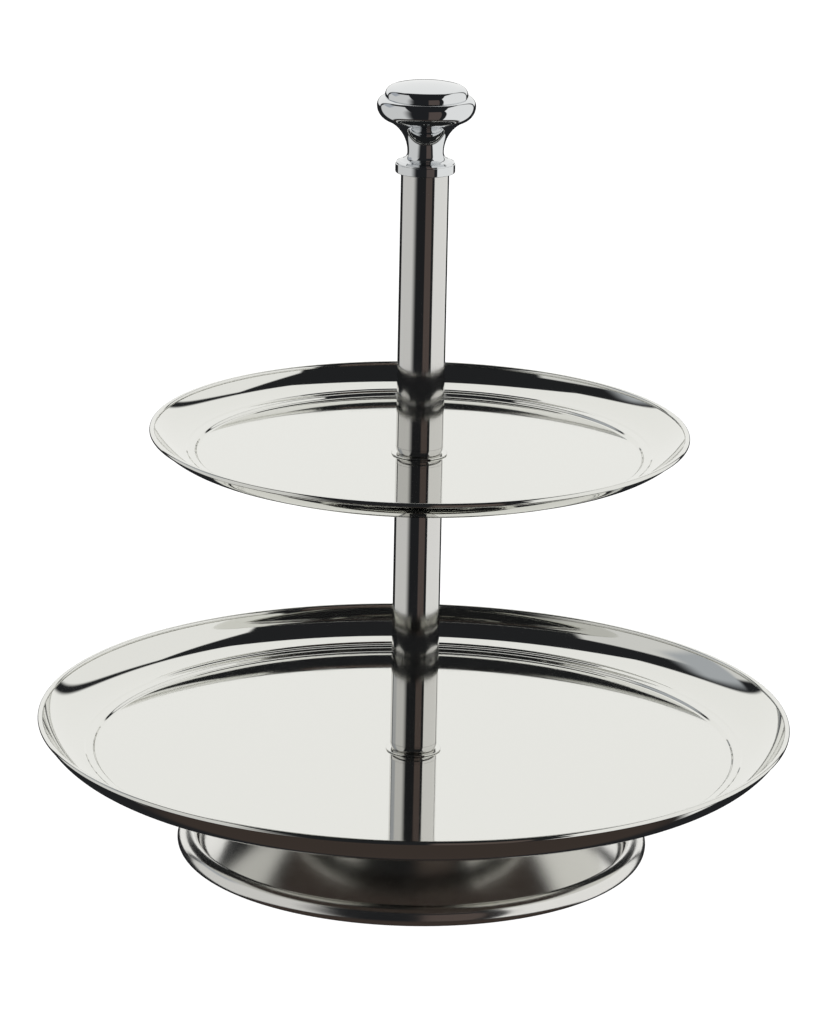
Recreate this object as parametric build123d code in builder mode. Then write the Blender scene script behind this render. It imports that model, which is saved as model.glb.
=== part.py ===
"""Two-tier cake stand: a domed foot, two spun trays and two tubes, clamped on one tie rod by a knob.

Millimetres, +Z up. The origin is on the table, on the axis that every piece shares.
"""

from build123d import *

from dataclasses import dataclass
from math import atan2, cos, degrees, hypot, radians, sin
import os

# Driving dimensions: the sheet metal
SHEET = 1.0  # stainless sheet of the trays and the foot
BEND_MARGIN = 0.1  # a bend's outer radius over the sheet, so that its inner face has a radius too

# Driving dimensions: the foot, a dome whose edge is curled into a bead
FOOT_HEIGHT = 43.0
FOOT_RADIUS = 100.3
FOOT_BEAD_RADIUS = 4.3
FOOT_BEAD_FLAT = 0.1  # the bead is pressed flat by this much where it stands
FOOT_BEAD_CURL = 310.0  # degrees of curl, so the edge stops just short of the dome
DOME_ARC = 400.0  # section radius of the dome
DOME_STEEPNESS = 42.0  # degrees from level, where the dome runs into its bead
DOME_EDGE_ROUND = 10.0  # from the dome's arc to its flat top

# Driving dimensions: the tie rod (M8) and what holds it under the foot
ROD_RADIUS = 4.0
ROD_TAIL = 3.0  # rod left below the nut
ROD_CHAMFER = 0.8
THREAD_PITCH = 1.25
THREAD_TURNS = 9.6  # turns of thread that hold the knob
FOOT_WASHER_RADIUS = 18.0
FOOT_WASHER_THICKNESS = 1.5
LOCK_WASHER_RADIUS = 7.05
LOCK_WASHER_THICKNESS = 2.0
LOCK_WASHER_GAP = 1.2
LOCK_WASHER_SLANT = 25.0
NUT_ACROSS_FLATS = 13.0
NUT_HEIGHT = 6.5

# Driving dimensions: the flanged bush that carries each tray
BUSH_SLEEVE_RADIUS = 6.0
BUSH_FLANGE_RADIUS = 11.7
BUSH_FLANGE_THICKNESS = 0.5
BUSH_FLANGE_ROUND = 0.2

# Driving dimensions: the tubes between the trays and under the knob
TUBE_RADIUS = 10.0
TUBE_WALL = 1.0
LOWER_TUBE_LENGTH = 126.15
UPPER_TUBE_LENGTH = 117.4
TUBE_FOOT_HEIGHT = 3.0  # rounded end that shows below each tube
TUBE_FOOT_TUCK = 1.2  # how far that end is drawn in at the bottom
PLUG_DEPTH = 6.0

# Driving dimensions: the knob and the collar under it
COLLAR_RADIUS = 12.4
COLLAR_HEIGHT = 3.8
COLLAR_ROUND = 0.4
SPIGOT_DEPTH = 5.0
KNOB_BASE_RADIUS = 12.1
KNOB_BASE_EDGE = 0.45
KNOB_BASE_SLOPE = 0.7
KNOB_NECK_RADIUS = 7.54
KNOB_NECK_FLARE = 3.4
KNOB_RING_RADIUS = 20.45
KNOB_RING_HEIGHT = 24.2  # where the knob is widest, above its base
KNOB_RING_LOWER_ARC = 6.5
KNOB_RING_UPPER_ARC = 3.65
KNOB_CAP_RADIUS = 17.2
KNOB_CAP_EDGE = 0.6
KNOB_CAP_ARC = 3.8
KNOB_CAP_RISE = 6.2
INSERT_RADIUS = 5.25
INSERT_LENGTH = 14.0
INSERT_RELIEF = 2.0  # blind hole above the insert

# Named clearances
TRAY_PLAY = 0.1  # above and below a tray, so that it can turn
RUNNING_CLEARANCE = 0.08  # radial, between a sleeve or spigot and its hole
ROD_CLEARANCE = 0.1  # radial, between the rod and what slides over it
THREAD_CLEARANCE = 0.05  # radial, between the rod and the knob's insert


@dataclass(frozen=True)
class TraySize:
    """The sizes of one spun tray; heights are above its flat well, and flange_start is in degrees."""

    name: str
    rim_radius: float
    depth: float
    well_radius: float
    flange_start: float
    step_run: float = 1.0
    step_rise: float = 1.3
    ledge_run: float = 2.9
    ledge_rise: float = 0.3
    crease_run: float = 0.9
    crease_rise: float = 0.5
    flange_lead: float = 0.4
    rounding: float = SHEET + BEND_MARGIN
    rim_bead_radius: float = 1.1


LOWER_TRAY = TraySize("lower_tray", rim_radius=160.0, depth=15.5, well_radius=135.6, flange_start=6.0)
UPPER_TRAY = TraySize("upper_tray", rim_radius=113.35, depth=10.8, well_radius=93.3, flange_start=10.5)

# The stack, from the foot up
SLEEVE_LENGTH = SHEET + 2 * TRAY_PLAY
TRAY_SEAT = TRAY_PLAY + SHEET  # a tray's well above its bush's foot
BUSH_HEIGHT = SLEEVE_LENGTH + BUSH_FLANGE_THICKNESS
LOWER_BUSH_Z = FOOT_HEIGHT
LOWER_PLUG_Z = LOWER_BUSH_Z + BUSH_HEIGHT
LOWER_TUBE_Z = LOWER_PLUG_Z + TUBE_FOOT_HEIGHT
UPPER_BUSH_Z = LOWER_TUBE_Z + LOWER_TUBE_LENGTH
UPPER_PLUG_Z = UPPER_BUSH_Z + BUSH_HEIGHT
UPPER_TUBE_Z = UPPER_PLUG_Z + TUBE_FOOT_HEIGHT
COLLAR_Z = UPPER_TUBE_Z + UPPER_TUBE_LENGTH
KNOB_Z = COLLAR_Z + COLLAR_HEIGHT

# The rod hangs from the knob's insert and is pulled up against the foot by its nut
ROD_TOP = KNOB_Z + THREAD_TURNS * THREAD_PITCH
FOOT_WASHER_Z = FOOT_HEIGHT - SHEET - FOOT_WASHER_THICKNESS
LOCK_WASHER_Z = FOOT_WASHER_Z - LOCK_WASHER_THICKNESS
NUT_Z = LOCK_WASHER_Z - NUT_HEIGHT
ROD_BOTTOM = NUT_Z - ROD_TAIL

TUBE_BORE_RADIUS = TUBE_RADIUS - TUBE_WALL
ROD_HOLE_RADIUS = ROD_RADIUS + ROD_CLEARANCE


def save(part, node):
    """Label a finished piece and write it under its node's name."""
    part.label = node
    export_step(part, f"parts/{node}.step")


def make_foot_shell():
    """Spun dome, open below, whose edge curls outwards into a hollow bead that stands on the table."""
    bead_x = FOOT_RADIUS - FOOT_BEAD_RADIUS
    bead_z = FOOT_BEAD_RADIUS - FOOT_BEAD_FLAT
    curl_start = 270.0 - DOME_STEEPNESS
    curl_end = curl_start + FOOT_BEAD_CURL
    lean = (cos(radians(curl_start)), sin(radians(curl_start)))
    tip = (cos(radians(curl_end)), sin(radians(curl_end)))

    # The dome's arc is tangent to the bead, and its edge round is tangent to the arc and the flat top
    reach = DOME_ARC + FOOT_BEAD_RADIUS - SHEET
    dome_x = bead_x + reach * lean[0]
    dome_z = bead_z + reach * lean[1]
    round_z = FOOT_HEIGHT - DOME_EDGE_ROUND
    round_x = dome_x + ((DOME_ARC - DOME_EDGE_ROUND) ** 2 - (round_z - dome_z) ** 2) ** 0.5
    meet = degrees(atan2(round_z - dome_z, round_x - dome_x))
    outer_tip = (bead_x + FOOT_BEAD_RADIUS * tip[0], bead_z + FOOT_BEAD_RADIUS * tip[1])
    inner_curl = FOOT_BEAD_RADIUS - SHEET
    inner_tip = (bead_x + inner_curl * tip[0], bead_z + inner_curl * tip[1])
    dome_start = 90.0 - DOME_STEEPNESS
    with BuildPart() as foot_shell:
        with BuildSketch(Plane.XZ):
            with BuildLine():
                Line((ROD_HOLE_RADIUS, FOOT_HEIGHT), (round_x, FOOT_HEIGHT))
                CenterArc((round_x, round_z), DOME_EDGE_ROUND, meet, 90.0 - meet)
                CenterArc((dome_x, dome_z), DOME_ARC, dome_start, meet - dome_start)
                CenterArc((bead_x, bead_z), inner_curl, curl_start, FOOT_BEAD_CURL)
                Line(inner_tip, outer_tip)
                CenterArc((bead_x, bead_z), FOOT_BEAD_RADIUS, curl_start, FOOT_BEAD_CURL)
                CenterArc((dome_x, dome_z), DOME_ARC - SHEET, dome_start, meet - dome_start)
                CenterArc((round_x, round_z), DOME_EDGE_ROUND - SHEET, meet, 90.0 - meet)
                Line((round_x, FOOT_HEIGHT - SHEET), (ROD_HOLE_RADIUS, FOOT_HEIGHT - SHEET))
                Line((ROD_HOLE_RADIUS, FOOT_HEIGHT - SHEET), (ROD_HOLE_RADIUS, FOOT_HEIGHT))
            make_face()
        revolve(axis=Axis.Z)
        split(bisect_by=Plane.XY, keep=Keep.TOP)
    return foot_shell.part


def make_foot_washer():
    """Plain washer that spreads the rod's pull over the top of the dome."""
    with BuildPart() as foot_washer:
        with BuildSketch(Plane.XY.offset(FOOT_WASHER_Z)):
            Circle(FOOT_WASHER_RADIUS)
            Circle(ROD_HOLE_RADIUS, mode=Mode.SUBTRACT)
        extrude(amount=FOOT_WASHER_THICKNESS)
    return foot_washer.part


def make_lock_washer():
    """Split spring washer, with its slanted gap on the -X side."""
    with BuildPart() as lock_washer:
        with BuildSketch(Plane.XY.offset(LOCK_WASHER_Z)):
            Circle(LOCK_WASHER_RADIUS)
            Circle(ROD_HOLE_RADIUS, mode=Mode.SUBTRACT)
        extrude(amount=LOCK_WASHER_THICKNESS)
        middle = (-LOCK_WASHER_RADIUS, 0, LOCK_WASHER_Z + LOCK_WASHER_THICKNESS / 2)
        with Locations(Location(middle, (LOCK_WASHER_SLANT, 0, 0))):
            Box(
                2 * (LOCK_WASHER_RADIUS - ROD_RADIUS),
                LOCK_WASHER_GAP,
                3 * LOCK_WASHER_THICKNESS,
                mode=Mode.SUBTRACT,
            )
    return lock_washer.part


def make_foot_nut():
    """Hexagon nut, its corners turned off at 30 degrees on both faces."""
    corner_radius = NUT_ACROSS_FLATS / 2 / cos(radians(30))
    cone_drop = (corner_radius - NUT_ACROSS_FLATS / 2) * sin(radians(30)) / cos(radians(30))
    with BuildPart() as foot_nut:
        with BuildSketch(Plane.XY.offset(NUT_Z)):
            RegularPolygon(NUT_ACROSS_FLATS / 2, side_count=6, major_radius=False)
        extrude(amount=NUT_HEIGHT)
        with BuildSketch(Plane.XZ):
            with BuildLine():
                Polyline(
                    (ROD_RADIUS, NUT_Z),
                    (NUT_ACROSS_FLATS / 2, NUT_Z),
                    (corner_radius, NUT_Z + cone_drop),
                    (corner_radius, NUT_Z + NUT_HEIGHT - cone_drop),
                    (NUT_ACROSS_FLATS / 2, NUT_Z + NUT_HEIGHT),
                    (ROD_RADIUS, NUT_Z + NUT_HEIGHT),
                    close=True,
                )
            make_face()
        revolve(axis=Axis.Z, mode=Mode.INTERSECT)
    return foot_nut.part


def make_tie_rod():
    """M8 rod on the axis, from under the nut to inside the knob."""
    with BuildPart() as tie_rod:
        with BuildSketch(Plane.XY.offset(ROD_BOTTOM)):
            Circle(ROD_RADIUS)
        extrude(amount=ROD_TOP - ROD_BOTTOM)
        ends = tie_rod.faces().filter_by(GeomType.PLANE).edges()
        chamfer(ends, length=ROD_CHAMFER)
    return tie_rod.part


def make_tray(size, bush_z):
    """Spun tray: flat well, stepped ring, a flange that curves up in one arc, and a beaded rim."""
    well_z = bush_z + TRAY_SEAT
    hole_radius = BUSH_SLEEVE_RADIUS + RUNNING_CLEARANCE
    bead_x = size.rim_radius - size.rim_bead_radius
    bead_z = well_z + size.depth - size.rim_bead_radius
    bury = 0.3 * size.rim_bead_radius  # the sheet's upper face ends this far inside the bead
    start = radians(size.flange_start)
    lead = (size.flange_lead * cos(start), size.flange_lead * sin(start))
    steps = (
        (size.step_run, size.step_rise),
        (size.ledge_run, size.ledge_rise),
        (size.crease_run, size.crease_rise),
        lead,
    )
    corners = [(hole_radius, well_z), (size.well_radius, well_z)]
    for run, rise in steps:
        corners.append((corners[-1][0] + run, corners[-1][1] + rise))

    # The flange's arc is tangent to its lead, and its chord runs from there into the bead
    across = bead_x - bury - corners[-1][0]
    up = bead_z + bury - corners[-1][1]
    swing = atan2(up, across) - start
    flange_arc = hypot(across, up) / (2 * sin(swing))
    flange_x = corners[-1][0] - flange_arc * sin(start)
    flange_z = corners[-1][1] + flange_arc * cos(start)
    with BuildPart() as tray:
        with BuildSketch(Plane.XZ):
            with BuildLine():
                FilletPolyline(*corners, radius=size.rounding)
                CenterArc((flange_x, flange_z), flange_arc, size.flange_start - 90, degrees(2 * swing))
                offset(amount=SHEET, side=Side.RIGHT)
            make_face()
        revolve(axis=Axis.Z)
        with BuildSketch(Plane.XZ):
            with Locations((bead_x, bead_z)):
                Circle(size.rim_bead_radius)
        revolve(axis=Axis.Z)
    return tray.part


def make_bush(bush_z):
    """Flanged bush: its sleeve carries the clamp load through the tray, its flange shows as a thin ring."""
    flange_z = bush_z + SLEEVE_LENGTH
    with BuildPart() as bush:
        with BuildSketch(Plane.XY.offset(bush_z)):
            Circle(BUSH_SLEEVE_RADIUS)
        extrude(amount=SLEEVE_LENGTH)
        with BuildSketch(Plane.XY.offset(flange_z)):
            Circle(BUSH_FLANGE_RADIUS)
        extrude(amount=BUSH_FLANGE_THICKNESS)
        rims = bush.edges().filter_by(GeomType.CIRCLE).group_by(SortBy.RADIUS)[-1]
        fillet(rims, radius=BUSH_FLANGE_ROUND)
        with BuildSketch(Plane.XY.offset(bush_z)):
            Circle(ROD_HOLE_RADIUS)
        extrude(amount=BUSH_HEIGHT, mode=Mode.SUBTRACT)
    return bush.part


def make_tube(tube_z, length):
    """Plain polished tube."""
    with BuildPart() as tube:
        with BuildSketch(Plane.XY.offset(tube_z)):
            Circle(TUBE_RADIUS)
            Circle(TUBE_BORE_RADIUS, mode=Mode.SUBTRACT)
        extrude(amount=length)
    return tube.part


def make_tube_foot(plug_z):
    """Turned plug pressed into a tube's lower end, with a head that is drawn in where it stands."""
    head_z = plug_z + TUBE_FOOT_HEIGHT
    with BuildPart() as tube_foot:
        with BuildSketch(Plane.XZ):
            with BuildLine():
                Line((ROD_HOLE_RADIUS, plug_z), (TUBE_RADIUS - TUBE_FOOT_TUCK, plug_z))
                EllipticalCenterArc(
                    (TUBE_RADIUS - TUBE_FOOT_TUCK, head_z),
                    TUBE_FOOT_TUCK,
                    TUBE_FOOT_HEIGHT,
                    start_angle=270,
                    arc_size=90,
                )
                Polyline(
                    (TUBE_RADIUS, head_z),
                    (TUBE_BORE_RADIUS, head_z),
                    (TUBE_BORE_RADIUS, head_z + PLUG_DEPTH),
                    (ROD_HOLE_RADIUS, head_z + PLUG_DEPTH),
                    (ROD_HOLE_RADIUS, plug_z),
                )
            make_face()
        revolve(axis=Axis.Z)
    return tube_foot.part


def make_tube_plug(top_z):
    """Plug pressed flush into the lower tube's upper end, where the upper bush stands on it."""
    with BuildPart() as tube_plug:
        with BuildSketch(Plane.XY.offset(top_z)):
            Circle(TUBE_BORE_RADIUS)
            Circle(ROD_HOLE_RADIUS, mode=Mode.SUBTRACT)
        extrude(amount=-PLUG_DEPTH)
    return tube_plug.part


def make_knob_collar():
    """Turned collar that caps the upper tube, centres it on the rod and seats the knob."""
    with BuildPart() as knob_collar:
        with BuildSketch(Plane.XY.offset(COLLAR_Z)):
            Circle(COLLAR_RADIUS)
        extrude(amount=COLLAR_HEIGHT)
        fillet(knob_collar.edges().filter_by(GeomType.CIRCLE), radius=COLLAR_ROUND)
        with BuildSketch(Plane.XY.offset(COLLAR_Z)):
            Circle(TUBE_BORE_RADIUS - RUNNING_CLEARANCE)
        extrude(amount=-SPIGOT_DEPTH)
        with BuildSketch(Plane.XY.offset(COLLAR_Z - SPIGOT_DEPTH)):
            Circle(ROD_HOLE_RADIUS)
        extrude(amount=SPIGOT_DEPTH + COLLAR_HEIGHT, mode=Mode.SUBTRACT)
    return knob_collar.part


def make_knob():
    """Cast knob: flared base, waisted neck, rounded ring and a stepped, domed cap."""
    edge_z = KNOB_Z + KNOB_BASE_EDGE
    flare_z = edge_z + KNOB_BASE_SLOPE
    neck_z = flare_z + KNOB_NECK_FLARE
    flare_x = KNOB_NECK_RADIUS + KNOB_NECK_FLARE
    ring_z = KNOB_Z + KNOB_RING_HEIGHT

    # The throat is the arc that leaves the neck upright and runs smoothly into the ring's lower arc
    ring_x = KNOB_RING_RADIUS - KNOB_RING_LOWER_ARC
    offset_x = ring_x - KNOB_NECK_RADIUS
    offset_z = ring_z - neck_z
    throat_arc = (offset_x**2 + offset_z**2 - KNOB_RING_LOWER_ARC**2) / (
        2 * (KNOB_RING_LOWER_ARC + offset_x)
    )
    throat_x = KNOB_NECK_RADIUS + throat_arc
    reach = hypot(throat_x - ring_x, neck_z - ring_z)
    join = (
        ring_x + KNOB_RING_LOWER_ARC * (throat_x - ring_x) / reach,
        ring_z + KNOB_RING_LOWER_ARC * (neck_z - ring_z) / reach,
    )

    # The ring's upper arc ends where it meets the side of the cap
    upper_x = KNOB_RING_RADIUS - KNOB_RING_UPPER_ARC
    cap_z = ring_z + (KNOB_RING_UPPER_ARC**2 - (KNOB_CAP_RADIUS - upper_x) ** 2) ** 0.5

    # The cap's shoulder runs smoothly into one large arc over the top
    shoulder_z = cap_z + KNOB_CAP_EDGE
    shoulder_x = KNOB_CAP_RADIUS - KNOB_CAP_ARC
    apex_z = cap_z + KNOB_CAP_RISE
    drop = shoulder_z - apex_z
    crown_arc = (shoulder_x**2 + drop**2 - KNOB_CAP_ARC**2) / (-2 * (KNOB_CAP_ARC + drop))
    scale = crown_arc / (crown_arc - KNOB_CAP_ARC)
    crown_edge = (
        shoulder_x * scale,
        apex_z - crown_arc + (shoulder_z - apex_z + crown_arc) * scale,
    )

    with BuildPart() as knob:
        with BuildSketch(Plane.XZ):
            with BuildLine():
                Polyline((0, KNOB_Z), (KNOB_BASE_RADIUS, KNOB_Z), (KNOB_BASE_RADIUS, edge_z), (flare_x, flare_z))
                RadiusArc((flare_x, flare_z), (KNOB_NECK_RADIUS, neck_z), KNOB_NECK_FLARE)
                RadiusArc((KNOB_NECK_RADIUS, neck_z), join, throat_arc)
                RadiusArc(join, (KNOB_RING_RADIUS, ring_z), -KNOB_RING_LOWER_ARC)
                RadiusArc((KNOB_RING_RADIUS, ring_z), (KNOB_CAP_RADIUS, cap_z), -KNOB_RING_UPPER_ARC)
                Line((KNOB_CAP_RADIUS, cap_z), (KNOB_CAP_RADIUS, shoulder_z))
                RadiusArc((KNOB_CAP_RADIUS, shoulder_z), crown_edge, -KNOB_CAP_ARC)
                RadiusArc(crown_edge, (0, apex_z), -crown_arc)
                Line((0, apex_z), (0, KNOB_Z))
            make_face()
        revolve(axis=Axis.Z)
        with BuildSketch(Plane.XY.offset(KNOB_Z)):
            Circle(INSERT_RADIUS)
        extrude(amount=INSERT_LENGTH, mode=Mode.SUBTRACT)
        with BuildSketch(Plane.XY.offset(KNOB_Z + INSERT_LENGTH)):
            Circle(ROD_HOLE_RADIUS)
        extrude(amount=INSERT_RELIEF, mode=Mode.SUBTRACT)
    return knob.part


def make_knob_insert():
    """Threaded brass insert moulded into the knob."""
    with BuildPart() as knob_insert:
        with BuildSketch(Plane.XY.offset(KNOB_Z)):
            Circle(INSERT_RADIUS)
            Circle(ROD_RADIUS + THREAD_CLEARANCE, mode=Mode.SUBTRACT)
        extrude(amount=INSERT_LENGTH)
    return knob_insert.part


os.makedirs("parts", exist_ok=True)

save(make_foot_shell(), "foot_shell")
save(make_foot_washer(), "foot_washer")
save(make_lock_washer(), "lock_washer")
save(make_foot_nut(), "foot_nut")
save(make_tie_rod(), "tie_rod")

for tier, tray_size, bush_height in (
    ("lower", LOWER_TRAY, LOWER_BUSH_Z),
    ("upper", UPPER_TRAY, UPPER_BUSH_Z),
):
    save(make_bush(bush_height), f"{tier}_bush")
    save(make_tray(tray_size, bush_height), tray_size.name)

save(make_tube_foot(LOWER_PLUG_Z), "lower_tube_foot")
save(make_tube(LOWER_TUBE_Z, LOWER_TUBE_LENGTH), "lower_tube")
save(make_tube_plug(UPPER_BUSH_Z), "lower_tube_plug")
save(make_tube_foot(UPPER_PLUG_Z), "upper_tube_foot")
save(make_tube(UPPER_TUBE_Z, UPPER_TUBE_LENGTH), "upper_tube")

save(make_knob_collar(), "knob_collar")
save(make_knob(), "knob")
save(make_knob_insert(), "knob_insert")
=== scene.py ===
"""Studio scene of a two-tier cake stand, built round its packed mechanical frame.

Every piece is turned or spun metal on one vertical axis, so most of them are one section carried
round that axis. Lengths are in metres, and +Z is up.
"""

import logging
from dataclasses import dataclass
from enum import Enum
from math import acos, atan2, cos, degrees, hypot, pi, radians, sin, sqrt, tan
from typing import Any, Sequence

import bpy
import numpy as np
from mathutils import Matrix, Vector


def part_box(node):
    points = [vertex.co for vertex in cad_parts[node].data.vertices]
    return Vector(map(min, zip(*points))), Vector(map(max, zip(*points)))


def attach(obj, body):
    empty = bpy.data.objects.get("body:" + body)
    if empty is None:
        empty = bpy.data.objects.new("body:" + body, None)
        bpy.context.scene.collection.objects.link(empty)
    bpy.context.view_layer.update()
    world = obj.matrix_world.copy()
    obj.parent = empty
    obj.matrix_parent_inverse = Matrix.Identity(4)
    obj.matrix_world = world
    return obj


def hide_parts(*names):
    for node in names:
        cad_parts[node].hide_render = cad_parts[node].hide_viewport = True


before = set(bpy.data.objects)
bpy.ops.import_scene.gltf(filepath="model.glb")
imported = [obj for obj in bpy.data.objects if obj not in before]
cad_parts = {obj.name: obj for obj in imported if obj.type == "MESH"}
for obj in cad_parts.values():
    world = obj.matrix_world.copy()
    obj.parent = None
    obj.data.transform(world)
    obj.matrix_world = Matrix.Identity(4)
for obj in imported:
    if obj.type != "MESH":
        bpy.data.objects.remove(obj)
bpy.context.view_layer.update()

LOG = logging.getLogger("cake_stand")
MM = 0.001

# Largest angle between the samples of a small edge round, degrees
EDGE_PITCH = 15.0
# Largest angle between the samples of a larger round, degrees
BEND_PITCH = 3.0
# A ring of a mesh narrower than this is a point on the axis, metres
ON_AXIS = 1e-9

Point = tuple[float, float]
Colour = tuple[float, float, float, float]


# ---------------------------------------------------------------------------------------------
# Sections: the line that is carried round the axis, as runs of points with their own normals
# ---------------------------------------------------------------------------------------------


@dataclass(frozen=True)
class Run:
    """A smooth stretch of a section.

    A section is walked with the metal on its left, so the outward normal is on the right.

    Attributes:
        points: One row of (radius, height) for each sample.
        normals: The unit outward normal at each sample.
    """

    points: np.ndarray
    normals: np.ndarray

    def shifted(self, distance: float) -> "Run":
        """Returns the parallel run, moved by distance along its normals."""
        return Run(self.points + distance * self.normals, self.normals)

    def turned_back(self) -> "Run":
        """Returns the same line walked the other way, with the metal on its other side."""
        return Run(self.points[::-1], -self.normals[::-1])


def straight(start: Point, end: Point, steps: int = 1) -> Run:
    """Straight run: p(t) = start + t (end - start), with the normal (dz, -dr) made unit.

    Args:
        start: First (radius, height).
        end: Last (radius, height).
        steps: Number of equal divisions.

    Returns:
        The run, with steps + 1 samples.
    """
    share = np.linspace(0.0, 1.0, steps + 1)[:, None]
    first, last = np.array(start, float), np.array(end, float)
    along = (last - first) / np.linalg.norm(last - first)
    normal = np.array((along[1], -along[0]))
    return Run(first + share * (last - first), np.tile(normal, (steps + 1, 1)))


def arc(
    centre: Point, radii: float | tuple[float, float], start: float, end: float, pitch: float = 5.0
) -> Run:
    """Arc of a circle or an upright ellipse: p(a) = centre + (A cos a, B sin a).

    Its normal is (cos a / A, sin a / B) made unit, and it is turned inwards where the arc is
    walked clockwise, because the metal is then on the outside of the bend.

    Args:
        centre: Centre as (radius, height).
        radii: One radius, or the pair (A, B).
        start: First angle in degrees, anticlockwise from the outward direction.
        end: Last angle in degrees.
        pitch: Largest angle between samples, in degrees.

    Returns:
        The run.
    """
    across, up = radii if isinstance(radii, tuple) else (radii, radii)
    steps = max(2, int(np.ceil(abs(end - start) / pitch)))
    angle = np.radians(np.linspace(start, end, steps + 1))
    points = np.stack((centre[0] + across * np.cos(angle), centre[1] + up * np.sin(angle)), -1)
    normals = np.stack((np.cos(angle) / across, np.sin(angle) / up), -1)
    normals /= np.linalg.norm(normals, axis=1, keepdims=True)
    return Run(points, normals if end > start else -normals)


def rounded(corners: Sequence[Point], radii: Sequence[float]) -> list[Run]:
    """Line through corners, each inner corner rounded by a tangent arc.

    An arc of radius R in a corner that turns by d leaves the straights R tan(d / 2) from it.

    Args:
        corners: The corners as (radius, height), ends included.
        radii: One radius for each inner corner.

    Returns:
        Straight and arc runs in turn.
    """
    points = [np.array(corner, float) for corner in corners]
    runs: list[Run] = []
    here = points[0]
    for before, corner, after, radius in zip(points, points[1:], points[2:], radii):
        first = (corner - before) / np.linalg.norm(corner - before)
        second = (after - corner) / np.linalg.norm(after - corner)
        turn = atan2(first[0] * second[1] - first[1] * second[0], float(first @ second))
        side = 1.0 if turn > 0 else -1.0
        setback = radius * tan(abs(turn) / 2)
        leave = corner - first * setback
        inward = side * np.array((-first[1], first[0]))
        centre = leave + inward * radius
        angle = degrees(atan2(-inward[1], -inward[0]))
        runs.append(straight(tuple(here), tuple(leave)))
        runs.append(arc(tuple(centre), radius, angle, angle + degrees(turn), BEND_PITCH))
        here = corner + second * setback
    runs.append(straight(tuple(here), tuple(points[-1])))
    return runs


# ---------------------------------------------------------------------------------------------
# Skins: grids of points made into meshes
# ---------------------------------------------------------------------------------------------


def skin(
    name: str, grid: np.ndarray, normals: np.ndarray | None = None, loop: bool = False
) -> bpy.types.Object:
    """Mesh from a grid of rings, each closed on itself.

    The face between ring k and k + 1 and between columns j and j + 1 has the corners (k, j),
    (k, j + 1), (k + 1, j + 1), (k + 1, j), which faces outwards. A ring on the axis becomes one
    vertex with triangles round it.

    Args:
        name: Name of the piece.
        grid: Ring, column and (x, y, z), an array of K x N x 3.
        normals: Normals of each band's two edges, K' x 2 x N x 3, or None to smooth by faces.
        loop: True where the last ring joins the first.

    Returns:
        The new object, at the origin.
    """
    rings, columns = grid.shape[:2]
    pole = np.all(np.hypot(grid[..., 0], grid[..., 1]) < ON_AXIS, axis=1)
    index = np.cumsum(np.where(pole, 1, columns)) - np.where(pole, 1, columns)
    index = index[:, None] + np.where(pole[:, None], 0, np.arange(columns))
    vertices = np.concatenate([ring[:1] if flat else ring for ring, flat in zip(grid, pole)])

    low = np.arange(rings if loop else rings - 1)
    high = (low + 1) % rings
    column = np.arange(columns)
    following = (column + 1) % columns
    corners = np.stack(
        (index[low], index[low][:, following], index[high][:, following], index[high]), -1
    )
    faces: list[list[int]] = []
    shading: list[np.ndarray] = []
    for band in range(len(low)):
        kept = [0, 1, 2, 3]
        if pole[low[band]]:
            kept = [0, 2, 3]
        elif pole[high[band]]:
            kept = [0, 1, 2]
        faces.extend(corners[band][:, kept].tolist())
        if normals is not None:
            first, last = normals[band]
            four = np.stack((first, first[following], last[following], last), 1)
            shading.append(four[:, kept].reshape(-1, 3))

    mesh = bpy.data.meshes.new(name)
    mesh.from_pydata(vertices.tolist(), [], faces)
    mesh.polygons.foreach_set("use_smooth", np.ones(len(faces), dtype=bool))
    if normals is not None:
        mesh.normals_split_custom_set(np.concatenate(shading))
    mesh.update()
    piece = bpy.data.objects.new(name, mesh)
    bpy.context.scene.collection.objects.link(piece)
    return piece


def turned(
    name: str, runs: Sequence[Run], columns: int, closed: bool = True
) -> bpy.types.Object:
    """Solid of revolution: (r, z) becomes (r cos a, r sin a, z) for a from 0 to 2 pi.

    Args:
        name: Name of the piece.
        runs: The section, each run starting where the last one ended.
        columns: Number of columns round the axis.
        closed: True where the section comes back to its start, False where it ends on the axis.

    Returns:
        The new object.
    """
    section = np.concatenate([run.points[:-1] for run in runs])
    if not closed:
        section = np.concatenate((section, runs[-1].points[-1:]))
    angle = np.linspace(0.0, 2 * pi, columns, endpoint=False)
    spokes = np.stack((np.cos(angle), np.sin(angle)), -1)

    def swept(flat: np.ndarray) -> np.ndarray:
        """Returns each (r, z) of flat at every column."""
        around = flat[:, None, :1] * spokes[None]
        up = np.broadcast_to(flat[:, None, 1:], (len(flat), columns, 1))
        return np.concatenate((around, up), -1)

    first = swept(np.concatenate([run.normals[:-1] for run in runs]))
    last = swept(np.concatenate([run.normals[1:] for run in runs]))
    return skin(name, swept(section), np.stack((first, last), 1), loop=closed)


def ring_section(inner: float, outer: float, low: float, high: float, edge: float) -> list[Run]:
    """Section of a plain ring with all four edges broken by a small round.

    Args:
        inner: Bore radius.
        outer: Outside radius.
        low: Height of its foot.
        high: Height of its top.
        edge: Radius of the edge rounds.

    Returns:
        The closed section.
    """
    return [
        straight((inner + edge, low), (outer - edge, low)),
        arc((outer - edge, low + edge), edge, -90, 0, EDGE_PITCH),
        straight((outer, low + edge), (outer, high - edge)),
        arc((outer - edge, high - edge), edge, 0, 90, EDGE_PITCH),
        straight((outer - edge, high), (inner + edge, high)),
        arc((inner + edge, high - edge), edge, 90, 180, EDGE_PITCH),
        straight((inner, high - edge), (inner, low + edge)),
        arc((inner + edge, low + edge), edge, 180, 270, EDGE_PITCH),
    ]


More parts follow.
